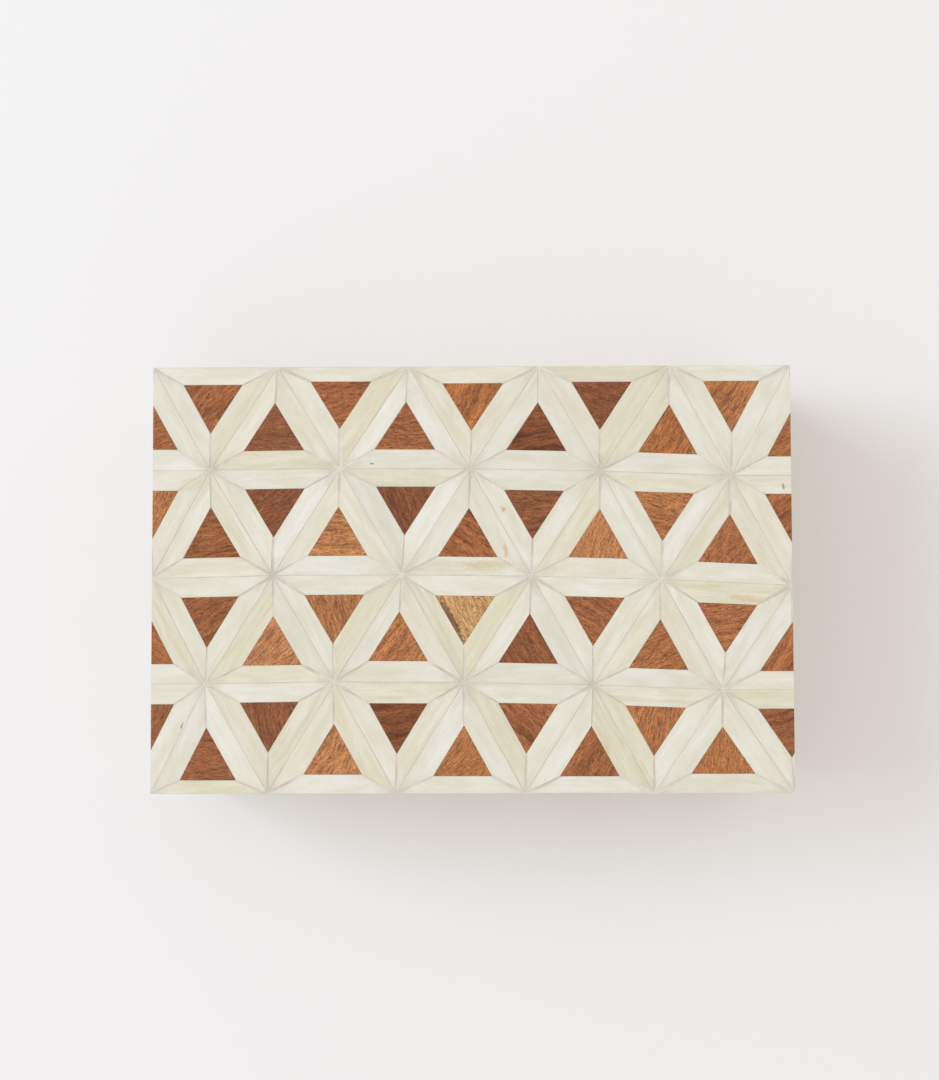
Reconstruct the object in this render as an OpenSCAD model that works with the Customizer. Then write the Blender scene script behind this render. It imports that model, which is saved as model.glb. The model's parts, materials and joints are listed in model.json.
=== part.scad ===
// Inlaid box with a hinged lid: a wooden carcass covered with a mosaic of bone strips and
// wooden triangles, two brass stop hinges and a felt sheet underneath.
// Origin at the centre of the underside, +X right, +Y towards the hinges, +Z up, millimetres.

/* [Box] */
// Width of the closed box, left to right
box_w = 228.6; // [215:0.1:245]
// Depth of the closed box, front to back
box_d = 152.4; // [144:0.1:164]
// Height of the closed box with its felt
box_h = 63.5; // [60:0.1:75]
// Height of the lid, from the seam to the top
lid_h = 18; // [17:0.5:22]
// Open line between the lid and the base
seam_gap = 0.3; // [0.2:0.05:0.6]

/* [Carcass] */
// Thickness of the wooden walls and of the lid's rails
wall_t = 8; // [7.5:0.5:10]
// Thickness of the lid's wooden board
lid_board_t = 5; // [4:0.5:6]
// Thickness of the bottom board
bottom_t = 4; // [3:0.5:5]
// Height of the bottom board above the walls' lower edge
bottom_lift = 3; // [2:0.5:5]
// Thickness of the felt sheets under the box and on its floor
felt_t = 1; // [0.8:0.1:1.5]
// Distance of the felt's edge from the outside of the box
felt_margin = 4; // [3.5:0.5:8]

/* [Inlay] */
// Thickness of the whole inlay, bed and tiles
inlay_t = 2.5; // [2.2:0.1:3]
// Thickness of the filler bed behind the tiles
bed_t = 0.5; // [0.4:0.1:0.8]
// How far the tiles stand proud of the filler between them
tile_proud = 0.1; // [0.05:0.05:0.2]
// Width of a wooden triangle along its row; the strips of bone fill the rest of its cell
triangle_w = 21.1; // [19.5:0.1:23]
// Largest error in the place of a wooden triangle, from laying by hand
place_error = 0.8; // [0:0.05:1]
// Shift of the lid's front line of stars, to the right where positive
star_shift = -4; // [-4.5:0.5:0]
// Further shift of each line of stars over the line in front of it
star_lean = 1.25; // [0:0.05:1.5]
// Spread of a line's stars along the box, for each line it stands behind the front
star_fan = 1.5; // [0:0.1:2]
// Rise of the inner lines of stars in the middle over their ends
star_bow = 2.4; // [0:0.1:3]
// Fall of the inner lines of stars from the left end to the right
star_fall = 3; // [0:0.1:4]
// How much the strips along a panel's edges lost when the edges were trimmed
edge_trim = 1.4; // [0:0.1:1.8]
// Narrowest and widest filler line along two strips that lie side by side
seam_w = [0.1, 0.3]; // [0.1:0.05:0.8]
// Narrowest and widest filler line where the ends of two strips meet
mitre_w = [0.2, 1]; // [0.1:0.05:1]
// Open joint between a wooden triangle and its strips
joint_w = 0.12; // [0.05:0.01:0.2]
// Shortest and longest distance of a strip's pointed tip from its star, filled with filler
tip_gap = [0.1, 0.6]; // [0.1:0.1:2]
// Height of the plain strip along the foot of the base
foot_strip_h = 6; // [5:0.5:8]

/* [Hinges] */
// Distance of each hinge's middle from the middle of the box
hinge_x = 70; // [50:1:85]
// Length of a hinge
hinge_l = 28; // [24:0.5:34]
// Thickness of a hinge leaf
leaf_t = 1; // [0.8:0.1:1.2]
// Radius of the hinge barrel
barrel_r = 1.8; // [1.7:0.05:2]
// Radius of the hinge pin
pin_r = 1; // [0.8:0.05:1.1]
// Angle at which the hinge stops the lid
open_angle = 100; // [90:1:105]

/* [Hidden] */
$fn = 48;

// Sides of the box, as quarter turns from the front
FRONT = 0;
RIGHT = 1;
BACK = 2;
LEFT = 3;

// Levels and the carcass without its inlay
base_top = box_h - lid_h - seam_gap;
lid_bottom = box_h - lid_h;
lid_board_z = box_h - inlay_t - lid_board_t;
bottom_z = felt_t + bottom_lift;
core_w = box_w - 2 * inlay_t;
core_d = box_d - 2 * inlay_t;
room_w = core_w - 2 * wall_t;
room_d = core_d - 2 * wall_t;
lap = wall_t / 2;
board_play = 0.2;
lining_play = 0.5;

// Inlay: the lid has four rows of five triangles, the base one row on each side
top_cells = 5;
top_rows = 4;
long_cells = 5;
short_cells = 3;
rim_courses = 2;
rim_strip_l = 46;
tip_blunt = 0.3;
end_run = 7;
triangle_area = triangle_w * triangle_w * (box_d / top_rows) / (box_w / top_cells) / 2;
plain_line = (seam_w[0] + seam_w[1]) / 2;
smallest_tile = 3;
over_edge = 1;
top_seed = 3974;
side_seed = 2;
STRAIGHT = [[[0, 0]], [[0, 0]]];

// Drift of the lid's stars off the regular lattice, line by line from the front edge and from
// left to right
LID_DRIFT = [
    for (line = [0 : top_rows])
        [for (i = [0 : top_cells - line % 2]) star_drift(line, i)]
];

// Hinges: the pin's line lies just behind the box, level with the seam
pin_y = box_d / 2 + barrel_r / 2;
pin_z = base_top + seam_gap / 2;
leaf_inset = 0.7;
leaf_in_y = core_d / 2 - wall_t + leaf_inset;
web_l = 0.3;
leaf_out_y = pin_y - barrel_r - web_l;
mid_knuckle = 9.6;
knuckle_gap = 0.2;
bore_play = 0.05;
mortise_play = 0.15;
barrel_play = 0.35;
pin_head_r = 1.4;
pin_head_l = 0.5;
lug_l = 2;
lug_r = 2.6;
lug_from = 50;
lug_span = 45;
lug_play = 0.15;
stop_lead = 0.5;
screw_x = 9;
screw_y = core_d / 2 - wall_t / 2;
screw_r = 0.9;
screw_l = 7;
screw_head_r = 1.7;
screw_head_h = 0.8;
screw_play = 0.05;
screw_tip_r = 0.2;
slot_w = 0.5;
slot_h = 0.35;

bone_colour = [0.89, 0.88, 0.82];
filler_colour = [0.80, 0.77, 0.73];
triangle_colour = [0.63, 0.40, 0.26];
carcass_colour = [0.72, 0.52, 0.35];
felt_colour = [0.25, 0.12, 0.10];
brass_colour = [0.80, 0.65, 0.35];

// ---- Outlines: convex, anticlockwise, in the plane of a panel ----

// What is left of an outline on the inner side of the line normal * p = reach
function cut(outline, normal, reach) = [
    for (i = [0 : 1 : len(outline) - 1])
        let (
            p = outline[i],
            q = outline[(i + 1) % len(outline)],
            past_p = normal * p - reach,
            past_q = normal * q - reach
        )
        each concat(
            past_p <= 0 ? [p] : [],
            past_p * past_q < 0 ? [p + (q - p) * past_p / (past_p - past_q)] : []
        )
];

// An outline drawn in by its own gap on each side
function drawn_in(outline, gaps) = trimmed(outline, outline, gaps, 0);
function trimmed(outline, left, gaps, side) =
    side == len(outline) ? left :
    let (
        p = outline[side],
        run = outline[(side + 1) % len(outline)] - p,
        normal = [run.y, -run.x] / norm(run)
    )
    trimmed(outline, cut(left, normal, normal * p - gaps[side]), gaps, side + 1);

// The part of an outline that lies on a panel of this size
function on_panel(outline, size) =
    cut(cut(cut(cut(outline, [1, 0], size.x), [-1, 0], 0), [0, 1], size.y), [0, -1], 0);

function area(outline) = len(outline) < 3 ? 0 : 0.5 * sum([
    for (i = [0 : len(outline) - 1])
        let (p = outline[i], q = outline[(i + 1) % len(outline)])
        p.x * q.y - p.y * q.x
]);
function sum(values) = values * [for (v = values) 1];

// Outlines fitted to the panel, without the crumbs
function fitted(outlines, size) = [
    for (outline = outlines)
        let (piece = on_panel(outline, size))
        if (area(piece) > smallest_tile) piece
];

// ---- The triangle pattern ----

// How far a star of the lid's pattern stands off the regular lattice, because the pieces are
// set by eye. Each line leans and fans out a little more than the line in front of it, and the
// inner lines bow. Stars on an edge of the lid stay on it.
function star_drift(line, i) =
    let (
        along = (i + line % 2 / 2) / top_cells - 0.5,
        on_side = abs(along) >= 0.5,
        on_front_or_back = line == 0 || line == top_rows
    )
    [
        on_side ? 0 : star_shift + (star_lean + star_fan * along) * line,
        on_front_or_back ? 0 : star_bow * (0.5 - 4 * along * along) - star_fall * along
    ];

// Stars where the strips meet, line by line. Odd lines lie half a cell over and run on
// past both ends.
function stars(size, cells, rows, drift) = [
    for (line = [0 : rows])
        let (odd = line % 2, last = len(drift[line]) - 1)
        [
            for (i = [-odd : cells])
                [size.x / cells * (i + odd / 2), size.y / rows * line]
                + drift[line][max(0, min(i, last))]
        ]
];

// Triangular cells of one row, from left to right, each as its three stars
function cells_of(lines, cells, row) =
    let (
        upright = row % 2 == 0,
        even = lines[upright ? row : row + 1],
        odd = lines[upright ? row + 1 : row]
    )
    [
        for (k = [0 : 2 * cells])
            let (i = floor(k / 2))
            k % 2 == 0
                ? (upright ? [even[i], odd[i + 1], odd[i]] : [odd[i], odd[i + 1], even[i]])
                : (upright ? [even[i], even[i + 1], odd[i + 1]] : [odd[i + 1], even[i + 1], even[i]])
    ];

function unit(v) = v / norm(v);
function outward(p, q) = unit([q.y - p.y, p.x - q.x]);
function on_edge(p, q, size) =
    max(p.y, q.y) < over_edge || min(p.y, q.y) > size.y - over_edge;

// Widths of the three strips round the wooden triangle of a cell. All the triangles have the
// same area, and the strips share out the rest evenly, but for the triangle's errors of place
// and the trimming of the panel's edges.
function strip_widths(cell, seed, size) =
    let (
        long = [for (side = [0 : 2]) norm(cell[(side + 1) % 3] - cell[side])],
        error = rands(-place_error, place_error, 3, seed),
        change = [
            for (side = [0 : 2])
                error[side] - (on_edge(cell[side], cell[(side + 1) % 3], size) ? edge_trim : 0)
        ],
        spare = 2 * (area(cell) - sqrt(triangle_area * area(cell))),
        even = (spare - change * long) / sum(long)
    )
    [for (part = change) even + part];

// The wooden triangle of a cell: on each side one strip's width inside it
function heart(cell, seed, size) =
    let (
        width = strip_widths(cell, seed, size),
        out = [for (side = [0 : 2]) outward(cell[side], cell[(side + 1) % 3])]
    )
    [
        for (corner = [0 : 2])
            let (
                before = (corner + 2) % 3,
                a = out[before],
                b = out[corner],
                in_a = width[before],
                in_b = width[corner]
            )
            cell[corner] - [in_a * b.y - in_b * a.y, in_b * a.x - in_a * b.x] / cross(a, b)
    ];

// A strip without the thinnest end of the tip that points at a star
function blunted(outline, star, inner, far_star, gap) =
    let (normal = -unit(unit(inner - star) + unit(far_star - star)))
    cut(outline, normal, normal * star - gap - tip_blunt);

// The three bone strips of a cell, mitred at its corners. The strip beside a star that
// lies inside the panel's right end runs on to that end.
function strips(cell, seed, size) =
    let (
        inner = heart(cell, seed, size),
        gap = rands(tip_gap[0], tip_gap[1], 6, seed),
        seam = rands(seam_w[0] / 2, seam_w[1] / 2, 3, seed + 1),
        mitre = rands(mitre_w[0] / 2, mitre_w[1] / 2, 3, seed + 2)
    )
    [
        for (side = [0 : 2])
            let (
                next = (side + 1) % 3,
                p = cell[side],
                q = cell[next],
                run = unit(q - p),
                from = p + run * gap[2 * side],
                to = q - run * gap[2 * side + 1],
                gaps = [seam[side], mitre[side], joint_w, mitre[side]],
                runs_on = p.x < size.x && p.x > size.x - end_run && q.x > size.x,
                whole = runs_on
                    ? drawn_in(
                        [p, [size.x + over_edge, p.y], q, inner[next], inner[side]],
                        concat(seam[side], gaps)
                    )
                    : drawn_in([from, to, inner[next], inner[side]], gaps),
                one_tip = runs_on ? whole : blunted(whole, p, inner[side], q, gap[2 * side])
            )
            blunted(one_tip, q, inner[next], p, gap[2 * side + 1])
    ];

// The seed of the small errors of one cell
function cell_seed(panel_seed, row, k) = panel_seed * 1000 + row * 100 + k;

function bone_row(size, cells, rows, drift, row, panel_seed) =
    let (row_cells = cells_of(stars(size, cells, rows, drift), cells, row))
    fitted([
        for (k = [0 : len(row_cells) - 1])
            each strips(row_cells[k], cell_seed(panel_seed, row, k), size)
    ], size);

function wood_row(size, cells, rows, drift, row, panel_seed) =
    let (row_cells = cells_of(stars(size, cells, rows, drift), cells, row))
    fitted([
        for (k = [0 : len(row_cells) - 1])
            heart(row_cells[k], cell_seed(panel_seed, row, k), size)
    ], size);

// Plain strips laid end to end in courses, every other course half a strip over
function courses(size, count, length) = fitted([
    for (course = [0 : count - 1])
        let (
            low = course == 0 ? -over_edge : size.y / count * course,
            high = course == count - 1 ? size.y + over_edge : size.y / count * (course + 1),
            runs = ceil(size.x / length)
        )
        for (i = [0 : runs])
            let (
                from = (i - (course % 2) / 2) * length,
                to = i == runs ? size.x + over_edge : from + length
            )
            drawn_in(
                [[from, low], [to, low], [to, high], [from, high]],
                [for (edge = [0 : 3]) plain_line / 2]
            )
], size);

function raised(outlines, lift) = [for (outline = outlines) [for (p = outline) p + [0, lift]]];

// ---- Panels ----

top_size = [box_w, box_d];
function is_long(side) = side % 2 == 0;
function side_w(side) = is_long(side) ? box_w : core_d;
function side_reach(side) = (is_long(side) ? box_d : box_w) / 2;
function side_cells(side) = is_long(side) ? long_cells : short_cells;
function base_size(side) = [side_w(side), base_top - felt_t];
function lattice_size(side) = base_size(side) - [0, foot_strip_h];
function rim_size(side) = [side_w(side), box_h - inlay_t - lid_bottom];

function top_bone(row) = bone_row(top_size, top_cells, top_rows, LID_DRIFT, row, top_seed);
function top_wood(row) = wood_row(top_size, top_cells, top_rows, LID_DRIFT, row, top_seed);
function foot_strips(side) =
    courses([side_w(side), foot_strip_h - plain_line / 2], 1, side_w(side) / side_cells(side));
function side_bone(side) = concat(
    foot_strips(side),
    raised(
        bone_row(lattice_size(side), side_cells(side), 1, STRAIGHT, 0, side_seed + side),
        foot_strip_h
    )
);
function side_wood(side) = raised(
    wood_row(lattice_size(side), side_cells(side), 1, STRAIGHT, 0, side_seed + side),
    foot_strip_h
);
function rim_bone(side) = courses(rim_size(side), rim_courses, rim_strip_l);

// Tiles standing on the bed
module tiles(outlines) {
    translate([0, 0, bed_t])
        linear_extrude(inlay_t - bed_t)
            for (outline = outlines) polygon(outline);
}

// Filler: the bed, and the lines that rise between the tiles
module filler(size, outlines) {
    cube([size.x, size.y, bed_t]);
    translate([0, 0, bed_t])
        linear_extrude(inlay_t - bed_t - tile_proud)
            difference() {
                square(size);
                for (outline = outlines) polygon(outline);
            }
}

module lay_on_top() {
    translate([-box_w / 2, -box_d / 2, box_h - inlay_t]) children();
}

// Stands a panel up against a side of the carcass with its lower edge at z
module stand_on_side(side, z) {
    rotate([0, 0, 90 * side])
        translate([-side_w(side) / 2, inlay_t - side_reach(side), z])
            rotate([90, 0, 0])
                children();
}

// Room for the hinges, taken out of the back of the base and of the lid
module hinge_room() {
    for (x = [-hinge_x, hinge_x]) {
        for (low = [base_top - leaf_t, lid_bottom])
            translate([x - hinge_l / 2 - mortise_play, leaf_in_y - mortise_play, low])
                cube([hinge_l + 2 * mortise_play, box_d, leaf_t]);
        translate([x, pin_y, pin_z])
            along_x(hinge_l / 2 + pin_head_l + barrel_play, barrel_r + barrel_play);
        translate([x - hinge_l / 2 - mortise_play, leaf_out_y, base_top - leaf_t])
            cube([hinge_l + 2 * mortise_play, box_d, 2 * leaf_t + seam_gap]);
    }
}

// Cylinder along X that reaches equally far to both sides
module along_x(reach, r) {
    rotate([0, 90, 0]) cylinder(h = 2 * reach, r = r, center = true);
}

module screw_holes(head_z, point) {
    for (x = [-hinge_x, hinge_x], dx = [-screw_x, screw_x])
        translate([x + dx, screw_y, head_z])
            rotate([point < 0 ? 180 : 0, 0, 0])
                cylinder(h = screw_l + screw_play, r = screw_r + screw_play);
}

// ---- Carcass of the base ----

base_wall_h = base_top - felt_t;

// Front or back wall, lapped over the ends of the side walls
module long_board(z, h) {
    translate([-core_w / 2, core_d / 2 - wall_t, z])
        difference() {
            cube([core_w, wall_t, h]);
            for (x = [0, core_w - wall_t])
                translate([x, 0, 0]) cube([wall_t, lap, h]);
        }
}

module short_board(z, h) {
    translate([core_w / 2 - wall_t, lap - core_d / 2, z])
        cube([wall_t, core_d - 2 * lap, h]);
}

// Groove that holds the bottom board on all four sides
module bottom_groove() {
    translate([-room_w / 2 - lap, -room_d / 2 - lap, bottom_z])
        cube([room_w + 2 * lap, room_d + 2 * lap, bottom_t]);
}

module base_front_wall() {
    color(carcass_colour)
        difference() {
            rotate([0, 0, 180]) long_board(felt_t, base_wall_h);
            bottom_groove();
        }
}

module base_back_wall() {
    color(carcass_colour)
        difference() {
            long_board(felt_t, base_wall_h);
            bottom_groove();
            hinge_room();
            screw_holes(base_top, -1);
        }
}

module base_side_wall(turn) {
    color(carcass_colour)
        difference() {
            rotate([0, 0, turn]) short_board(felt_t, base_wall_h);
            bottom_groove();
        }
}

module base_bottom_board() {
    w = room_w + 2 * (lap - board_play);
    d = room_d + 2 * (lap - board_play);
    color(carcass_colour)
        translate([-w / 2, -d / 2, bottom_z]) cube([w, d, bottom_t]);
}

module felt_sheet(w, d, z) {
    color(felt_colour)
        translate([-w / 2, -d / 2, z]) cube([w, d, felt_t]);
}

module base_felt() {
    felt_sheet(box_w - 2 * felt_margin, box_d - 2 * felt_margin, 0);
}

module base_lining() {
    felt_sheet(room_w - 2 * lining_play, room_d - 2 * lining_play, bottom_z + bottom_t);
}

// ---- Inlay of the base ----

module base_filler(side) {
    color(filler_colour)
        difference() {
            stand_on_side(side, felt_t)
                filler(base_size(side), concat(side_bone(side), side_wood(side)));
            if (side == BACK) hinge_room();
        }
}

module base_bone(side) {
    color(bone_colour)
        difference() {
            stand_on_side(side, felt_t) tiles(side_bone(side));
            if (side == BACK) hinge_room();
        }
}

module base_wood(side) {
    color(triangle_colour)
        difference() {
            stand_on_side(side, felt_t) tiles(side_wood(side));
            if (side == BACK) hinge_room();
        }
}

// ---- Hinges ----

// A round stretch of the barrel about the pin's line, with its web to the leaf
module knuckle(from, to, leaf_z) {
    translate([(from + to) / 2, pin_y, pin_z]) along_x((to - from) / 2, barrel_r);
    translate([from, leaf_out_y, leaf_z]) cube([to - from, pin_y - leaf_out_y, leaf_t]);
}

// A stop on the barrel: a sector about the pin's line
module lug(from, length, inner_r, start) {
    translate([from, pin_y, pin_z])
        rotate([90, 0, 90])
            rotate([0, 0, start])
                rotate_extrude(angle = lug_span)
                    translate([inner_r, 0]) square([lug_r - inner_r, length]);
}

module leaf_plate(leaf_z) {
    translate([-hinge_l / 2, leaf_in_y, leaf_z])
        cube([hinge_l, leaf_out_y - leaf_in_y, leaf_t]);
}

// Countersunk holes of one leaf, seen from its open face
module leaf_holes(face_z, point) {
    for (dx = [-screw_x, screw_x])
        translate([dx, screw_y, face_z])
            rotate([point < 0 ? 180 : 0, 0, 0]) {
                cylinder(h = screw_head_h, r1 = screw_head_r, r2 = screw_r + screw_play);
                cylinder(h = 2 * leaf_t, r = screw_r + screw_play);
            }
}

// The base leaf carries the two outer knuckles and the lower stop
module hinge_base_leaf(x) {
    knuckle_from = mid_knuckle / 2 + knuckle_gap;
    color(brass_colour)
        translate([x, 0, 0])
            difference() {
                union() {
                    leaf_plate(base_top - leaf_t);
                    knuckle(-hinge_l / 2, -knuckle_from, base_top - leaf_t);
                    knuckle(knuckle_from, hinge_l / 2, base_top - leaf_t);
                    lug(knuckle_from, lug_l, pin_r + bore_play, -lug_from - lug_span);
                    lug(mid_knuckle / 2 - lug_l, lug_l + knuckle_gap, barrel_r + lug_play,
                        -lug_from - lug_span);
                }
                translate([0, pin_y, pin_z]) along_x(hinge_l, pin_r);
                leaf_holes(base_top, -1);
            }
}

// The lid leaf carries the middle knuckle and the upper stop
module hinge_lid_leaf(x) {
    color(brass_colour)
        translate([x, 0, 0])
            difference() {
                union() {
                    leaf_plate(lid_bottom);
                    knuckle(-mid_knuckle / 2, mid_knuckle / 2, lid_bottom);
                    lug(mid_knuckle / 2 - lug_l, lug_l, pin_r + bore_play, open_angle - lug_from + stop_lead);
                }
                translate([0, pin_y, pin_z]) along_x(hinge_l, pin_r + bore_play);
                leaf_holes(lid_bottom, 1);
            }
}

module hinge_pin(x) {
    color(brass_colour)
        translate([x, pin_y, pin_z]) {
            along_x(hinge_l / 2 + pin_head_l, pin_r);
            for (end = [-1, 1])
                translate([end * (hinge_l + pin_head_l) / 2, 0, 0])
                    along_x(pin_head_l / 2, pin_head_r);
        }
}

// A countersunk wood screw with its head at the origin, pointing up
module screw() {
    difference() {
        union() {
            cylinder(h = screw_head_h, r1 = screw_head_r - screw_play, r2 = screw_r);
            cylinder(h = screw_l - screw_r, r = screw_r);
            translate([0, 0, screw_l - screw_r]) cylinder(h = screw_r, r1 = screw_r, r2 = screw_tip_r);
        }
        translate([-screw_head_r, -slot_w / 2, -slot_h])
            cube([2 * screw_head_r, slot_w, 2 * slot_h]);
    }
}

module hinge_screws(face_z, point) {
    color(brass_colour)
        for (x = [-hinge_x, hinge_x], dx = [-screw_x, screw_x])
            translate([x + dx, screw_y, face_z])
                rotate([point < 0 ? 180 : 0, 0, 0])
                    screw();
}

// ---- Carcass of the lid ----

rail_h = lid_board_z - lid_bottom;

module lid_board() {
    color(carcass_colour)
        translate([-core_w / 2, -core_d / 2, lid_board_z]) cube([core_w, core_d, lid_board_t]);
}

module lid_front_rail() {
    color(carcass_colour) rotate([0, 0, 180]) long_board(lid_bottom, rail_h);
}

module lid_back_rail() {
    color(carcass_colour)
        difference() {
            long_board(lid_bottom, rail_h);
            hinge_room();
            screw_holes(lid_bottom, 1);
        }
}

module lid_side_rail(turn) {
    color(carcass_colour) rotate([0, 0, turn]) short_board(lid_bottom, rail_h);
}

// ---- Inlay of the lid ----

module lid_top_filler() {
    all_tiles = [for (row = [0 : top_rows - 1]) each concat(top_bone(row), top_wood(row))];
    color(filler_colour) lay_on_top() filler(top_size, all_tiles);
}

// Rows count from the back
module lid_top_bone(row) {
    color(bone_colour) lay_on_top() tiles(top_bone(top_rows - row));
}

module lid_top_wood(row) {
    color(triangle_colour) lay_on_top() tiles(top_wood(top_rows - row));
}

module lid_rim_filler(side) {
    color(filler_colour)
        difference() {
            stand_on_side(side, lid_bottom) filler(rim_size(side), rim_bone(side));
            if (side == BACK) hinge_room();
        }
}

module lid_rim_bone(side) {
    color(bone_colour)
        difference() {
            stand_on_side(side, lid_bottom) tiles(rim_bone(side));
            if (side == BACK) hinge_room();
        }
}

base_front_wall();
base_back_wall();
base_side_wall(180);  // base_left_wall
base_side_wall(0);  // base_right_wall
base_bottom_board();
base_felt();
base_lining();
base_filler(FRONT);  // base_front_filler
base_bone(FRONT);  // base_front_bone
base_wood(FRONT);  // base_front_wood
base_filler(BACK);  // base_back_filler
base_bone(BACK);  // base_back_bone
base_wood(BACK);  // base_back_wood
base_filler(LEFT);  // base_left_filler
base_bone(LEFT);  // base_left_bone
base_wood(LEFT);  // base_left_wood
base_filler(RIGHT);  // base_right_filler
base_bone(RIGHT);  // base_right_bone
base_wood(RIGHT);  // base_right_wood
hinge_base_leaf(-hinge_x);  // left_hinge_base_leaf
hinge_base_leaf(hinge_x);  // right_hinge_base_leaf
hinge_pin(-hinge_x);  // left_hinge_pin
hinge_pin(hinge_x);  // right_hinge_pin
hinge_screws(base_top, -1);  // base_hinge_screws
lid_board();
lid_front_rail();
lid_back_rail();
lid_side_rail(180);  // lid_left_rail
lid_side_rail(0);  // lid_right_rail
lid_top_filler();
lid_top_bone(1);  // lid_top_bone_row_1
lid_top_bone(2);  // lid_top_bone_row_2
lid_top_bone(3);  // lid_top_bone_row_3
lid_top_bone(4);  // lid_top_bone_row_4
lid_top_wood(1);  // lid_top_wood_row_1
lid_top_wood(2);  // lid_top_wood_row_2
lid_top_wood(3);  // lid_top_wood_row_3
lid_top_wood(4);  // lid_top_wood_row_4
lid_rim_filler(FRONT);  // lid_front_filler
lid_rim_bone(FRONT);  // lid_front_bone
lid_rim_filler(BACK);  // lid_back_filler
lid_rim_bone(BACK);  // lid_back_bone
lid_rim_filler(LEFT);  // lid_left_filler
lid_rim_bone(LEFT);  // lid_left_bone
lid_rim_filler(RIGHT);  // lid_right_filler
lid_rim_bone(RIGHT);  // lid_right_bone
hinge_lid_leaf(-hinge_x);  // left_hinge_lid_leaf
hinge_lid_leaf(hinge_x);  // right_hinge_lid_leaf
hinge_screws(lid_bottom, 1);  // lid_hinge_screws
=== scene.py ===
"""Looks of the inlaid box: every tile as its own worked piece, and the materials, light and camera."""
import json
import math
import random

import bmesh
import bpy
from mathutils import Matrix, Vector


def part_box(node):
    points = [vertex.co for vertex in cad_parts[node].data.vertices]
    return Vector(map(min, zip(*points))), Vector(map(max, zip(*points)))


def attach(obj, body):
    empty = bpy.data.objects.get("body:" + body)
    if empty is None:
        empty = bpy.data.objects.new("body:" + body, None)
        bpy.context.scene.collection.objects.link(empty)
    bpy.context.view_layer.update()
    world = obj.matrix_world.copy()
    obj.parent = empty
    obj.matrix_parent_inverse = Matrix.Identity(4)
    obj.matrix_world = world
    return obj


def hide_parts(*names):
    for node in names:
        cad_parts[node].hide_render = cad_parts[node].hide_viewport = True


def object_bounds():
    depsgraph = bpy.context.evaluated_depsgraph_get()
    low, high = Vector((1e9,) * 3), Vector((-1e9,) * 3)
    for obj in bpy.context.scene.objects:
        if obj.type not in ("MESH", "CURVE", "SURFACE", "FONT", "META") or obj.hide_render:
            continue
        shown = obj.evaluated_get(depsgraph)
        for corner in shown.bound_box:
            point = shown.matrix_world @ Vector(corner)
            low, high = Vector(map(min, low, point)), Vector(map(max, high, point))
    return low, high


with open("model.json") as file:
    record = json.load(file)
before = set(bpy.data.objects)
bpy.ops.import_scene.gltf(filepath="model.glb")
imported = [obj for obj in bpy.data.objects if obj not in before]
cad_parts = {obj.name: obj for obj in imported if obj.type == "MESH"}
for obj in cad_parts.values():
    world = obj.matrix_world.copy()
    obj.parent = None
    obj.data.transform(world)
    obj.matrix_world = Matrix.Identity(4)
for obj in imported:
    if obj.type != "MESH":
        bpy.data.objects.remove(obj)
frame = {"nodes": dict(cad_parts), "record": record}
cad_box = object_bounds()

MM = 0.001
RECORD = frame["record"]
SEED = 7
LID_TOP = round(cad_box[1][2] / MM, 1)

# Outward direction of each face of the box, and the direction in which its rows run
OUTWARD = {
    "top": Vector((0, 0, 1)),
    "front": Vector((0, -1, 0)),
    "back": Vector((0, 1, 0)),
    "left": Vector((-1, 0, 0)),
    "right": Vector((1, 0, 0)),
}
ROW_RUNS = {
    "top": Vector((1, 0, 0)),
    "front": Vector((1, 0, 0)),
    "back": Vector((-1, 0, 0)),
    "left": Vector((0, -1, 0)),
    "right": Vector((0, 1, 0)),
}

# The lid's wooden triangles, row by row from the back and each row from left to right, graded
# one by one. Tone runs from 0, darkest, to 9, lightest; warmth from 0, brown, to 9, orange; grain is
# the angle of the grain in degrees from the row; figure runs from 0, plain, to 9, boldly streaked.
TOP_GRADE = 9
LID_WOOD = {
    1: {
        "tone": (5, 5, 3, 5, 5, 6, 1, 2, 6, 7, 6),
        "warmth": (4, 5, 1, 5, 4, 7, 3, 1, 6, 4, 3),
        "grain": (20, 45, 2, 10, 0, 65, 5, 160, 60, 55, 30),
        "figure": (3, 9, 5, 4, 6, 8, 8, 2, 3, 4, 3),
    },
    2: {
        "tone": (7, 4, 2, 8, 2, 5, 3, 8, 7, 6, 5),
        "warmth": (5, 6, 1, 6, 2, 5, 2, 5, 4, 3, 3),
        "grain": (60, 10, 30, 0, 110, 140, 3, 70, 165, 50, 45),
        "figure": (3, 8, 4, 6, 6, 9, 6, 4, 4, 3, 9),
    },
    3: {
        "tone": (5, 4, 8, 7, 7, 9, 3, 5, 6, 6, 6),
        "warmth": (5, 5, 3, 3, 4, 6, 3, 2, 3, 2, 4),
        "grain": (150, 30, 45, 110, 55, 115, 120, 150, 30, 10, 55),
        "figure": (6, 8, 3, 4, 4, 6, 5, 2, 2, 2, 8),
    },
    4: {
        "tone": (4, 4, 3, 8, 1, 7, 5, 5, 7, 7, 4),
        "warmth": (3, 3, 2, 5, 3, 5, 3, 3, 4, 5, 2),
        "grain": (60, 0, 100, 65, 2, 45, 140, 55, 75, 85, 15),
        "figure": (2, 2, 3, 8, 7, 3, 7, 6, 4, 2, 8),
    },
}


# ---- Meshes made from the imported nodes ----

def welded_copy(node):
    """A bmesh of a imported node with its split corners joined."""
    shape = bmesh.new()
    shape.from_mesh(frame["nodes"][node].data)
    bmesh.ops.remove_doubles(shape, verts=shape.verts, dist=0.001 * MM)
    return shape


def clean_copy(node):
    """A welded copy without the lines across its flat faces, for pieces that have no holes."""
    shape = welded_copy(node)
    bmesh.ops.dissolve_limit(
        shape, angle_limit=math.radians(0.5), verts=shape.verts, edges=shape.edges
    )
    shape.normal_update()
    return shape


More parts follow.
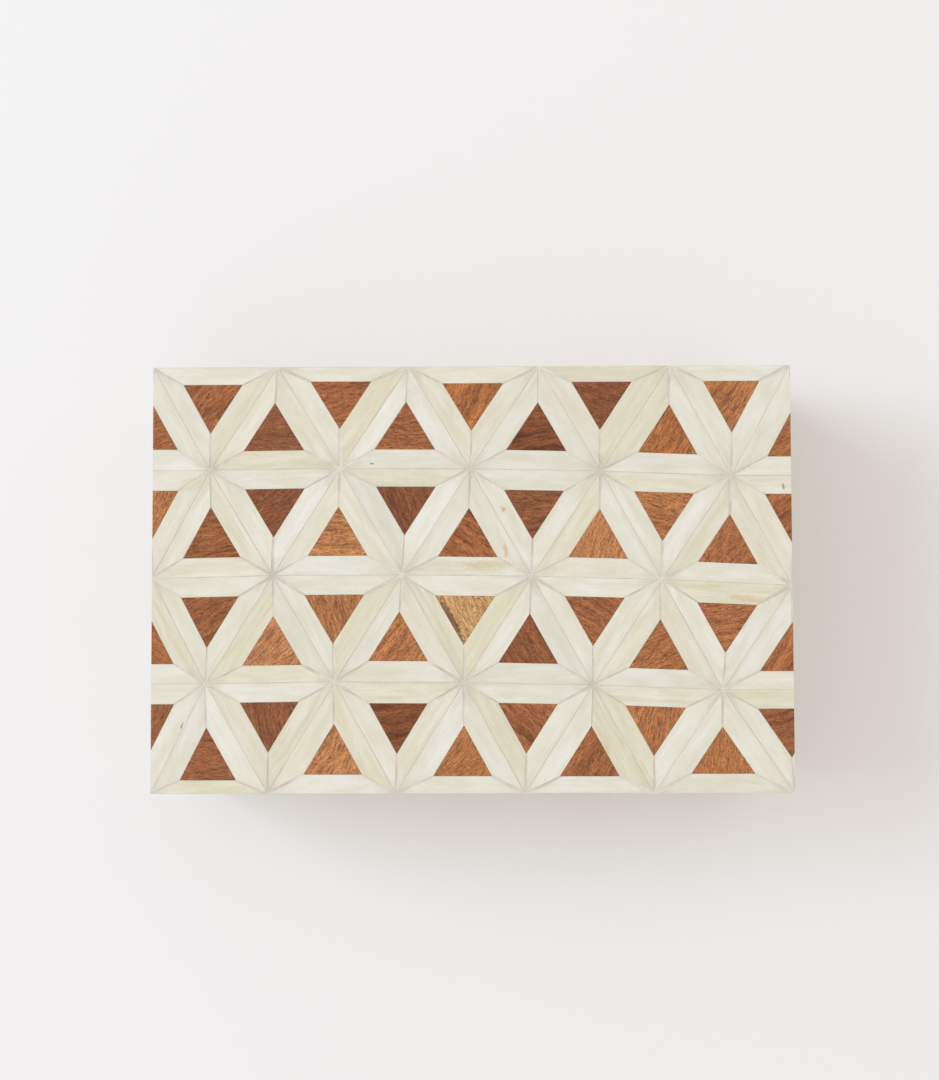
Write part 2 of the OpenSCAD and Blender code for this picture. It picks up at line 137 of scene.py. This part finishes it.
def islands(shape):
    """Lists of the vertices that hang together, in an order that is the same each run."""
    seen = set()
    found = []
    shape.verts.ensure_lookup_table()
    for start in shape.verts:
        if start.index in seen:
            continue
        group, front = [], [start]
        seen.add(start.index)
        while front:
            vert = front.pop()
            group.append(vert)
            for edge in vert.link_edges:
                other = edge.other_vert(vert)
                if other.index not in seen:
                    seen.add(other.index)
                    front.append(other)
        found.append(group)
    return found


def middle_of(verts):
    total = Vector()
    for vert in verts:
        total += vert.co
    return total / len(verts)


def longest_run(verts, outward):
    """Direction of the longest edge among verts that lies in the plane across outward."""
    best, run = 0, None
    for vert in verts:
        for edge in vert.link_edges:
            line = edge.other_vert(vert).co - vert.co
            line -= outward * line.dot(outward)
            if line.length > best + 0.01 * MM:
                best, run = line.length, line.normalized()
    return run


def turned(run, outward, degrees):
    return Matrix.Rotation(math.radians(degrees), 3, outward) @ run


def write_grain(shape, group, run, outward, shift, look):
    """Gives a group of vertices its own grain coordinates, in millimetres, and its look.

    Grain runs along the first coordinate, and the third is the depth under the outer face.
    The shift keeps two pieces from showing the same figure.
    """
    grain = shape.verts.layers.float_vector["grain"]
    place = shape.verts.layers.float_vector["place"]
    reach = shape.verts.layers.float_vector["reach"]
    tone = shape.verts.layers.float_vector["look"]
    across = outward.cross(run)
    middle = middle_of(group)
    face = max(vert.co.dot(outward) for vert in group)
    spots = {}
    for vert in group:
        spot = (vert.co - middle) / MM
        spots[vert] = Vector((spot.dot(run), spot.dot(across), (vert.co.dot(outward) - face) / MM))
    half = Vector([max(abs(spot[i]) for spot in spots.values()) for i in range(2)] + [1])
    for vert, spot in spots.items():
        vert[grain] = spot + shift
        vert[place] = spot
        vert[reach] = half
        vert[tone] = look


def far_shift(dice):
    return Vector([dice.uniform(-400, 400) for _ in range(3)])


def add_layers(shape):
    for name in ("grain", "place", "reach", "look"):
        shape.verts.layers.float_vector.new(name)


def rounded(shape, edges, width, steps=2):
    if edges:
        bmesh.ops.bevel(
            shape,
            geom=edges,
            offset=width,
            offset_type="OFFSET",
            segments=steps,
            profile=0.5,
            affect="EDGES",
            clamp_overlap=True,
        )


def finished_piece(shape, name, node, body, material, smooth=True):
    """Turns a bmesh into a piece that stands for a node and rides on its body."""
    mesh = bpy.data.meshes.new(name)
    shape.to_mesh(mesh)
    shape.free()
    for face in mesh.polygons:
        face.use_smooth = smooth
    mesh.materials.append(material)
    piece = bpy.data.objects.new(name, mesh)
    bpy.context.scene.collection.objects.link(piece)
    if smooth:
        shading = piece.modifiers.new("even_normals", "WEIGHTED_NORMAL")
        shading.keep_sharp = True
    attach(piece, body)
    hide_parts(node)
    return piece


def sharpen(shape, degrees=50):
    for edge in shape.edges:
        if edge.is_manifold and edge.calc_face_angle(0) > math.radians(degrees):
            edge.smooth = False


# ---- Tiles ----

# Widths of the rounded edges
TILE_EDGE = {"bone": 0.06 * MM, "wood": 0.14 * MM}
BOARD_EDGE = 0.35 * MM
FACING = 0.99
CORNER = math.radians(60)


def ordered_along(groups, run):
    return sorted(groups, key=lambda group: middle_of(group).dot(run))


def tile_piece(node, body, kind, side, materials, looks=None):
    """All the tiles of one node, each with rounded edges, its own grain and its own look."""
    outward, run = OUTWARD[side], ROW_RUNS[side]
    dice = random.Random(f"{SEED} {node}")
    shape = clean_copy(node)
    add_layers(shape)
    for i, group in enumerate(ordered_along(islands(shape), run)):
        if kind == "bone":
            grain_run = longest_run(group, outward)
            look = bone_look(dice)
        else:
            angle, look = looks[i] if looks else wood_look(dice)
            grain_run = turned(run, outward, angle)
        write_grain(shape, group, grain_run, outward, far_shift(dice), look)
    face_edges = [
        edge
        for edge in shape.edges
        if any(face.normal.dot(outward) > FACING for face in edge.link_faces)
        and not all(face.normal.dot(outward) > FACING for face in edge.link_faces)
    ]
    rounded(shape, face_edges, TILE_EDGE[kind])
    sharpen(shape)
    finished_piece(shape, f"{node}_tiles", node, body, materials[kind])


def bone_look(dice):
    """Lightness, yellowness and figure of one bone strip, about 0 to 1."""
    streaked = dice.random() < 0.2
    return Vector((
        dice.gauss(0.5, 0.13),
        dice.gauss(0.8, 0.2) if streaked else dice.gauss(0.3, 0.16),
        dice.uniform(0.6, 1.0) if streaked else dice.uniform(0.0, 0.45),
    ))


def wood_look(dice):
    look = Vector((dice.gauss(0.52, 0.2), dice.gauss(0.42, 0.2), dice.uniform(0.2, 0.9)))
    return dice.uniform(0, 180), Vector([min(1, max(0, part)) for part in look])


def lid_wood_looks(row):
    chosen = LID_WOOD[row]
    return [
        (grain, Vector((tone, warmth, figure)) / TOP_GRADE)
        for tone, warmth, grain, figure in zip(
            chosen["tone"], chosen["warmth"], chosen["grain"], chosen["figure"]
        )
    ]


# ---- Materials ----

def node_tree(name):
    material = bpy.data.materials.new(name)
    material.use_nodes = True
    tree = material.node_tree
    shader = tree.nodes["Principled BSDF"]
    return material, tree, shader


class Nodes:
    """Short calls that add linked nodes to a material's tree."""

    def __init__(self, tree):
        self.tree = tree

    def put(self, kind, inputs=None, **settings):
        node = self.tree.nodes.new(kind)
        for name, value in settings.items():
            setattr(node, name, value)
        for name, value in (inputs or {}).items():
            self.feed(node.inputs[name], value)
        return node

    def feed(self, socket, value):
        if isinstance(value, bpy.types.NodeSocket):
            self.tree.links.new(value, socket)
        else:
            socket.default_value = value

    def attribute(self, name):
        node = self.put("ShaderNodeAttribute", attribute_name=name)
        return node.outputs["Vector"]

    def parts(self, vector):
        node = self.put("ShaderNodeSeparateXYZ", {0: vector})
        return node.outputs

    def stretched(self, vector, along, across, deep):
        node = self.put("ShaderNodeVectorMath", {0: vector, 1: (along, across, deep)},
                        operation="MULTIPLY")
        return node.outputs["Vector"]

    def shifted(self, vector, offset):
        node = self.put("ShaderNodeVectorMath", {0: vector, 1: offset}, operation="ADD")
        return node.outputs["Vector"]

    def millimetres(self):
        """The place in the piece's own frame, in millimetres."""
        place = self.put("ShaderNodeTexCoord").outputs["Object"]
        return self.stretched(place, 1 / MM, 1 / MM, 1 / MM)

    def noise(self, vector, scale=1.0, detail=3.0, roughness=0.5, distortion=0.0):
        node = self.put(
            "ShaderNodeTexNoise",
            {"Vector": vector, "Scale": scale, "Detail": detail, "Roughness": roughness,
             "Distortion": distortion},
        )
        return node.outputs["Fac"]

    def spread(self, value, low, high, to_low=0.0, to_high=1.0):
        node = self.put(
            "ShaderNodeMapRange",
            {"Value": value, "From Min": low, "From Max": high, "To Min": to_low,
             "To Max": to_high},
            clamp=True,
        )
        return node.outputs["Result"]

    def maths(self, operation, first, second):
        node = self.put("ShaderNodeMath", {0: first, 1: second}, operation=operation)
        return node.outputs["Value"]

    def mixed(self, share, first, second, blend="MIX"):
        """A mix of two colours. The node also holds sockets for floats and vectors."""
        node = self.put("ShaderNodeMix", data_type="RGBA", blend_type=blend)
        self.feed(node.inputs[0], share)
        self.feed(node.inputs[6], first)
        self.feed(node.inputs[7], second)
        return node.outputs[2]

    def bump(self, height, distance, strength=1.0):
        node = self.put(
            "ShaderNodeBump", {"Height": height, "Distance": distance, "Strength": strength}
        )
        return node.outputs["Normal"]


def shade(red, green, blue):
    """A colour given as seen on a screen, 0 to 255, in the linear values that a socket takes."""
    def linear(value):
        value /= 255
        return value / 12.92 if value <= 0.04045 else ((value + 0.055) / 1.055) ** 2.4

    return (linear(red), linear(green), linear(blue), 1.0)


# Marks on the lid's bone: x and y of the middle in mm, half length and half width in mm, turn in
# degrees, strength, and the colour as seen.
BONE_MARKS = (
    (-35.7, 41.2, 0.8, 0.3, 0, 0.8, (110, 92, 78)),
    (-103.2, -52.1, 1.4, 0.35, 70, 0.8, (96, 78, 64)),
    (11.5, 24.7, 0.9, 1.5, 20, 0.7, (206, 160, 112)),
    (12.2, 10.1, 0.9, 3.2, 5, 0.7, (214, 178, 128)),
    (-100.0, 34.0, 6.0, 2.4, 15, 0.5, (206, 203, 160)),
    (5.0, 4.6, 12.0, 1.6, 2, 0.5, (204, 188, 146)),
    (98.0, -7.5, 8.0, 1.4, -8, 0.6, (216, 184, 140)),
    (-36.0, -33.0, 14.0, 2.0, 3, 0.4, (216, 204, 168)),
    (111.4, 32.5, 0.5, 1.2, 10, 0.7, (150, 84, 66)),
    (112.0, 44.7, 0.4, 0.8, -15, 0.7, (160, 96, 78)),
)


def marked(n, base, marks):
    """Stains and specks laid over a colour at places on the lid's top."""
    place = n.millimetres()
    ragged = n.noise(place, 0.9, 4.0, 0.7)
    for x, y, long, wide, turn, strength, colour in marks:
        local = n.put(
            "ShaderNodeMapping",
            {"Vector": place, "Location": (x, y, LID_TOP),
             "Rotation": (0, 0, math.radians(turn)), "Scale": (long, wide, 3.0)},
            vector_type="TEXTURE",
        ).outputs["Vector"]
        away = n.put("ShaderNodeVectorMath", {0: local}, operation="LENGTH").outputs["Value"]
        edge = n.maths("ADD", away, n.spread(ragged, 0.3, 0.7, -0.5, 0.5))
        base = n.mixed(n.spread(edge, 0.5, 1.1, strength, 0.0), base, shade(*colour))
    return base


def bone_material():
    material, tree, shader = node_tree("bone")
    n = Nodes(tree)
    grain = n.attribute("grain")
    place = n.attribute("place")
    reach = n.attribute("reach")
    light, yellow, figure = n.parts(n.attribute("look"))[:3]
    cool, cream = shade(230, 229, 219), shade(224, 217, 192)
    base = n.mixed(yellow, cool, cream)
    cloud = n.noise(n.stretched(grain, 0.07, 0.20, 0.2), 1.0, 4.0, 0.6)
    base = n.mixed(n.spread(cloud, 0.38, 0.66, 0.0, 0.6), base, shade(214, 209, 183))
    milk = n.noise(n.shifted(n.stretched(grain, 0.05, 0.35, 0.3), (31, 7, 3)), 1.0, 3.0, 0.55)
    base = n.mixed(n.spread(milk, 0.48, 0.66, 0.0, 0.35), base, shade(237, 235, 229))
    streaks = n.noise(n.stretched(grain, 0.06, 0.5, 0.5), 1.0, 4.0, 0.6, 0.2)
    streak_share = n.maths("MULTIPLY", n.spread(streaks, 0.46, 0.68), figure)
    base = n.mixed(n.maths("MULTIPLY", streak_share, 0.8), base, shade(206, 203, 172))
    stain = n.noise(n.shifted(n.stretched(grain, 0.09, 0.4, 0.4), (3, 57, 9)), 1.0, 3.0, 0.6)
    stain_share = n.maths("MULTIPLY", n.spread(stain, 0.60, 0.74, 0.0, 0.55), figure)
    base = n.mixed(stain_share, base, shade(216, 190, 146))
    lines = n.noise(n.stretched(grain, 0.4, 1.6, 1.5), 1.0, 4.0, 0.7, 0.1)
    base = n.mixed(n.spread(lines, 0.50, 0.72, 0.0, 0.24), base, shade(200, 196, 176))
    # Painted shade: each strip is darkened towards its ends, where the strips meet at the stars, and a
    # little along its long sides.
    share = n.put("ShaderNodeVectorMath", {0: place, 1: reach}, operation="DIVIDE")
    reached = n.put("ShaderNodeVectorMath", {0: share.outputs["Vector"]}, operation="ABSOLUTE")
    along, across = n.parts(reached.outputs["Vector"])[:2]
    painted_shade_end = n.maths("ADD", along, n.spread(cloud, 0.3, 0.7, -0.15, 0.15))
    base = n.mixed(n.spread(painted_shade_end, 0.68, 1.05, 0.0, 0.62), base, shade(201, 197, 180))
    painted_shade_side = n.maths("ADD", across, n.spread(streaks, 0.3, 0.7, -0.2, 0.2))
    base = n.mixed(n.spread(painted_shade_side, 0.84, 1.12, 0.0, 0.12), base, shade(208, 204, 186))
    specks = n.noise(n.stretched(grain, 0.7, 2.6, 1.5), 1.0, 0.0, 0.4)
    base = n.mixed(n.spread(specks, 0.86, 0.91, 0.0, 0.5), base, shade(168, 144, 112))
    base = marked(n, base, BONE_MARKS)
    lightness = n.put("ShaderNodeHueSaturation", {"Color": base,
                      "Value": n.spread(light, 0.0, 1.0, 0.94, 1.055)})
    n.feed(shader.inputs["Base Color"], lightness.outputs["Color"])
    n.feed(shader.inputs["Roughness"], n.spread(cloud, 0.3, 0.7, 0.36, 0.48))
    fine = n.maths("ADD", n.maths("MULTIPLY", lines, 0.5), n.maths("MULTIPLY", cloud, 0.9))
    n.feed(shader.inputs["Normal"], n.bump(fine, 0.08 * MM, 0.5))
    shader.inputs["Specular IOR Level"].default_value = 0.45
    return material


# Marks on the lid's wood, given as those on the bone
WOOD_MARKS = (
    (-7.7, -14.0, 10.0, 1.7, -60, 0.75, (84, 56, 36)),
    (-6.3, 17.4, 7.5, 0.7, 56, 0.75, (216, 182, 152)),
)


def wood_material():
    material, tree, shader = node_tree("inlay_wood")
    n = Nodes(tree)
    grain = n.attribute("grain")
    depth = n.parts(n.attribute("place"))[2]
    tone, warmth, figure = n.parts(n.attribute("look"))[:3]
    bold = n.maths("MULTIPLY", figure, figure)
    sway = n.noise(n.stretched(grain, 0.07, 0.14, 0.14), 1.0, 2.0, 0.5)
    bend = n.maths("ADD", n.maths("MULTIPLY", bold, 1.1), 0.25)
    swing = n.maths("MULTIPLY", n.spread(sway, 0.3, 0.7, -1.0, 1.0), bend)
    swayed = n.put("ShaderNodeCombineXYZ", {1: swing})
    flow = n.shifted(grain, swayed.outputs["Vector"])
    ramp = n.put("ShaderNodeValToRGB", {"Fac": tone})
    stops = ((0.0, (121, 68, 35)), (0.35, (143, 87, 54)), (0.6, (164, 102, 63)),
             (0.8, (178, 117, 75)), (0.9, (189, 130, 88)), (1.0, (196, 155, 112)))
    while len(ramp.color_ramp.elements) < len(stops):
        ramp.color_ramp.elements.new(0.5)
    for element, (position, colour) in zip(ramp.color_ramp.elements, stops):
        element.position = position
        element.color = shade(*colour)
    tint = n.mixed(warmth, (0.99, 1.03, 1.09, 1), (1.06, 1.04, 0.78, 1))
    body = n.mixed(1.0, ramp.outputs["Color"], tint, "MULTIPLY")
    bands = n.noise(n.stretched(flow, 0.03, 0.42, 0.3), 1.0, 3.0, 0.6)
    dark_band = n.maths("MULTIPLY", n.spread(bands, 0.50, 0.66, 0.0, 0.8), figure)
    body = n.mixed(dark_band, body, (0.46, 0.38, 0.32, 1), "MULTIPLY")
    pale_band = n.maths("MULTIPLY", n.spread(bands, 0.34, 0.47, 0.8, 0.0), figure)
    body = n.mixed(pale_band, body, (1.30, 1.28, 1.22, 1), "MULTIPLY")
    fibres = n.noise(n.stretched(flow, 0.22, 1.5, 1.1), 1.0, 5.0, 0.8)
    body = n.mixed(n.spread(fibres, 0.50, 0.64, 0.0, 0.9), body, (0.50, 0.43, 0.38, 1), "MULTIPLY")
    body = n.mixed(n.spread(fibres, 0.36, 0.50, 0.95, 0.0), body, (1.42, 1.40, 1.33, 1), "MULTIPLY")
    flecks = n.noise(n.stretched(flow, 1.2, 3.6, 2.0), 1.0, 2.0, 0.6)
    body = n.mixed(n.spread(flecks, 0.52, 0.66, 0.0, 0.9), body, (0.60, 0.52, 0.46, 1), "MULTIPLY")
    body = n.mixed(n.spread(flecks, 0.34, 0.48, 0.8, 0.0), body, (1.34, 1.33, 1.30, 1), "MULTIPLY")
    pores = n.noise(n.stretched(flow, 0.6, 3.2, 2.0), 1.0, 2.0, 0.6)
    pore_share = n.spread(pores, 0.57, 0.66, 0.0, 0.75)
    body = n.mixed(pore_share, body, shade(78, 44, 31))
    body = marked(n, body, WOOD_MARKS)
    below_face = n.spread(depth, -0.14, -0.01, 0.85, 0.0)
    glue = n.maths("MULTIPLY", below_face, n.spread(depth, -0.5, -0.25))
    body = n.mixed(glue, body, shade(66, 38, 26))
    n.feed(shader.inputs["Base Color"], body)
    n.feed(shader.inputs["Roughness"], n.spread(fibres, 0.3, 0.7, 0.42, 0.56))
    ridges = n.maths("MULTIPLY", fibres, 0.4)
    relief = n.maths("SUBTRACT", ridges, n.maths("MULTIPLY", pore_share, 0.8))
    n.feed(shader.inputs["Normal"], n.bump(relief, 0.06 * MM, 0.6))
    shader.inputs["Specular IOR Level"].default_value = 0.3
    return material


def filler_material():
    material, tree, shader = node_tree("filler")
    n = Nodes(tree)
    place = n.millimetres()
    blotch = n.noise(place, 0.10, 3.0, 0.6)
    grit = n.noise(place, 3.5, 2.0, 0.6)
    base = n.mixed(n.spread(blotch, 0.36, 0.64), shade(224, 219, 206), shade(200, 193, 178))
    base = n.mixed(n.spread(grit, 0.5, 0.8, 0.0, 0.3), base, shade(182, 172, 156))
    n.feed(shader.inputs["Base Color"], base)
    shader.inputs["Roughness"].default_value = 0.8
    n.feed(shader.inputs["Normal"], n.bump(grit, 0.05 * MM, 0.6))
    return material


def carcass_material():
    material, tree, shader = node_tree("carcass_wood")
    n = Nodes(tree)
    grain = n.attribute("grain")
    sway = n.noise(n.stretched(grain, 0.010, 0.03, 0.03), 1.0, 2.0, 0.5)
    swayed = n.put("ShaderNodeCombineXYZ", {1: n.spread(sway, 0.3, 0.7, -5.0, 5.0)})
    flow = n.shifted(grain, swayed.outputs["Vector"])
    bands = n.noise(n.stretched(flow, 0.0035, 0.14, 0.10), 1.0, 5.0, 0.62)
    body = n.mixed(n.spread(bands, 0.36, 0.64), shade(192, 146, 100), shade(156, 107, 68))
    fibres = n.noise(n.stretched(flow, 0.03, 1.3, 1.0), 1.0, 5.0, 0.75)
    body = n.mixed(n.spread(fibres, 0.48, 0.68, 0.0, 0.55), body, shade(118, 78, 48))
    body = n.mixed(n.spread(fibres, 0.32, 0.48, 0.4, 0.0), body, shade(210, 168, 122))
    pores = n.noise(n.stretched(flow, 0.12, 2.6, 2.0), 1.0, 2.0, 0.6)
    body = n.mixed(n.spread(pores, 0.60, 0.70, 0.0, 0.6), body, shade(92, 58, 36))
    n.feed(shader.inputs["Base Color"], body)
    shader.inputs["Roughness"].default_value = 0.55
    n.feed(shader.inputs["Normal"], n.bump(fibres, 0.06 * MM, 0.5))
    return material


def felt_material():
    material, tree, shader = node_tree("felt")
    n = Nodes(tree)
    place = n.millimetres()
    fuzz = n.noise(place, 0.9, 6.0, 0.8, 0.6)
    drift = n.noise(place, 0.04, 3.0, 0.6)
    base = n.mixed(n.spread(fuzz, 0.38, 0.62), shade(78, 16, 22), shade(122, 36, 38))
    base = n.mixed(n.spread(drift, 0.35, 0.65, 0.0, 0.35), base, shade(66, 14, 20))
    n.feed(shader.inputs["Base Color"], base)
    shader.inputs["Roughness"].default_value = 0.95
    shader.inputs["Sheen Weight"].default_value = 0.15
    n.feed(shader.inputs["Normal"], n.bump(fuzz, 0.3 * MM, 0.8))
    return material


def metal_material(name, clean, dull):
    material, tree, shader = node_tree(name)
    n = Nodes(tree)
    place = n.millimetres()
    tarnish = n.noise(place, 0.12, 3.0, 0.55)
    scratch = n.noise(n.stretched(place, 0.4, 6.0, 3.0), 1.0, 3.0, 0.6)
    base = n.mixed(n.spread(tarnish, 0.4, 0.7), clean, dull)
    n.feed(shader.inputs["Base Color"], base)
    shader.inputs["Metallic"].default_value = 1.0
    n.feed(shader.inputs["Roughness"], n.spread(tarnish, 0.3, 0.7, 0.22, 0.34))
    n.feed(shader.inputs["Normal"], n.bump(scratch, 0.01 * MM, 0.25))
    return material


def floor_material():
    material, tree, shader = node_tree("floor")
    shader.inputs["Base Color"].default_value = shade(238, 237, 236)
    shader.inputs["Roughness"].default_value = 0.9
    shader.inputs["Specular IOR Level"].default_value = 0.1
    return material


# ---- The remaining pieces ----

def board_piece(node, body, material, run, outward):
    """A wooden board with its grain along run, and softened edges where nothing is cut out of it."""
    dice = random.Random(f"{SEED} {node}")
    hinged = "back" in node
    shape = welded_copy(node) if hinged else clean_copy(node)
    add_layers(shape)
    write_grain(shape, list(shape.verts), run, outward, far_shift(dice), Vector((0.5, 0.5, 0.5)))
    if not hinged:
        corners = [
            edge
            for edge in shape.edges
            if edge.is_manifold and edge.is_convex
            and edge.calc_face_angle(0) > CORNER and edge.calc_length() > 4 * MM
        ]
        rounded(shape, corners, BOARD_EDGE)
        sharpen(shape)
    name = f"{node}_piece"
    finished_piece(shape, name, node, body, material, not hinged)


def felt_piece(node, body, material):
    """A thin cut sheet of felt with soft edges and a slightly uneven face."""
    low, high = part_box(node)
    dice = random.Random(f"{SEED} {node}")
    shape = bmesh.new()
    size = high - low
    steps = (44, 30)
    bmesh.ops.create_grid(shape, x_segments=steps[0], y_segments=steps[1], size=0.5)
    bmesh.ops.scale(shape, vec=(size.x, size.y, 1), verts=shape.verts)
    made = bmesh.ops.extrude_face_region(shape, geom=shape.faces[:])
    raised = [item for item in made["geom"] if isinstance(item, bmesh.types.BMVert)]
    for vert in raised:
        vert.co.z = size.z - dice.uniform(0, 0.06) * MM
    bmesh.ops.recalc_face_normals(shape, faces=shape.faces)
    middle = Vector(((low.x + high.x) / 2, (low.y + high.y) / 2, low.z))
    bmesh.ops.translate(shape, vec=middle, verts=shape.verts)
    rims = [edge for edge in shape.edges if edge.calc_face_angle(0) > CORNER]
    rounded(shape, rims, 0.3 * size.z)
    piece = finished_piece(shape, f"{node}_sheet", node, body, material)


# ---- Light, floor and camera ----

def area_light(name, place, aim, size, size_y, power, colour=(1, 1, 1)):
    data = bpy.data.lights.new(name, "AREA")
    data.shape = "RECTANGLE"
    data.size = size
    data.size_y = size_y
    data.energy = power
    data.color = colour
    light = bpy.data.objects.new(name, data)
    bpy.context.scene.collection.objects.link(light)
    light.location = place
    light.rotation_euler = (Vector(aim) - Vector(place)).to_track_quat("-Z", "Y").to_euler()


def stage():
    reach = 12.0
    mesh = bpy.data.meshes.new("floor")
    mesh.from_pydata(
        [(-reach, -reach, 0), (reach, -reach, 0), (reach, reach, 0), (-reach, reach, 0)],
        [], [(0, 1, 2, 3)],
    )
    floor = bpy.data.objects.new("floor", mesh)
    mesh.materials.append(floor_material())
    bpy.context.scene.collection.objects.link(floor)


def daylight():
    scene = bpy.context.scene
    world = bpy.data.worlds.new("room")
    world.use_nodes = True
    room = world.node_tree.nodes["Background"].inputs
    room["Color"].default_value = (1.0, 0.952, 0.903, 1)
    room["Strength"].default_value = 0.82
    scene.world = world
    area_light("window", (-3.0, 0.8, 1.8), (0, 0, 0), 2.2, 2.2, 68, (0.85, 0.97, 1.17))
    area_light("far_wall", (3.0, 1.2, 2.4), (0, 0, 0), 2.0, 2.0, 5)
    scene.view_settings.view_transform = "Standard"


# The photo's viewpoint, a little off straight above the lid
CAMERA_PLACE = (0.0047, -0.0084, 0.5631)
CAMERA_TURN = [math.radians(angle) for angle in (2.54, 0.62, -0.14)]
LENS = 46.67
SENSOR_WIDTH = 36


def camera():
    data = bpy.data.cameras.new("camera")
    data.lens = LENS
    data.sensor_width = SENSOR_WIDTH
    view = bpy.data.objects.new("camera", data)
    bpy.context.scene.collection.objects.link(view)
    view.location = CAMERA_PLACE
    view.rotation_euler = CAMERA_TURN
    bpy.context.scene.camera = view


# ---- The box ----

def build():
    bodies = RECORD["behaviour"]["bodies"]
    body_of = {node: body for body, nodes in bodies.items() for node in nodes}
    tile_materials = {"bone": bone_material(), "wood": wood_material()}
    carcass = carcass_material()
    felt = felt_material()
    filler = filler_material()
    brass = metal_material("brass", shade(214, 178, 110), shade(182, 144, 84))
    screw_metal = metal_material("screw_metal", shade(226, 208, 166), shade(196, 174, 128))
    up = OUTWARD["top"]
    for node, body in body_of.items():
        words = node.split("_")
        side = next((word for word in words if word in OUTWARD), None)
        if "filler" in words:
            frame["nodes"][node].data.materials[0] = filler
        elif "bone" in words:
            tile_piece(node, body, "bone", side, tile_materials)
        elif "wood" in words:
            looks = lid_wood_looks(int(words[-1])) if words[0] == "lid" else None
            tile_piece(node, body, "wood", side, tile_materials, looks)
        elif "screws" in words:
            frame["nodes"][node].data.materials[0] = screw_metal
        elif "hinge" in words:
            frame["nodes"][node].data.materials[0] = brass
        elif "felt" in words:
            felt_piece(node, body, felt)
        elif "lining" in words:
            felt_piece(node, body, felt)
        elif side in ("left", "right"):
            board_piece(node, body, carcass, Vector((0, 1, 0)), OUTWARD["right"])
        elif side in ("front", "back"):
            board_piece(node, body, carcass, Vector((1, 0, 0)), OUTWARD["back"])
        else:
            board_piece(node, body, carcass, Vector((1, 0, 0)), up)


build()
stage()
daylight()
camera()
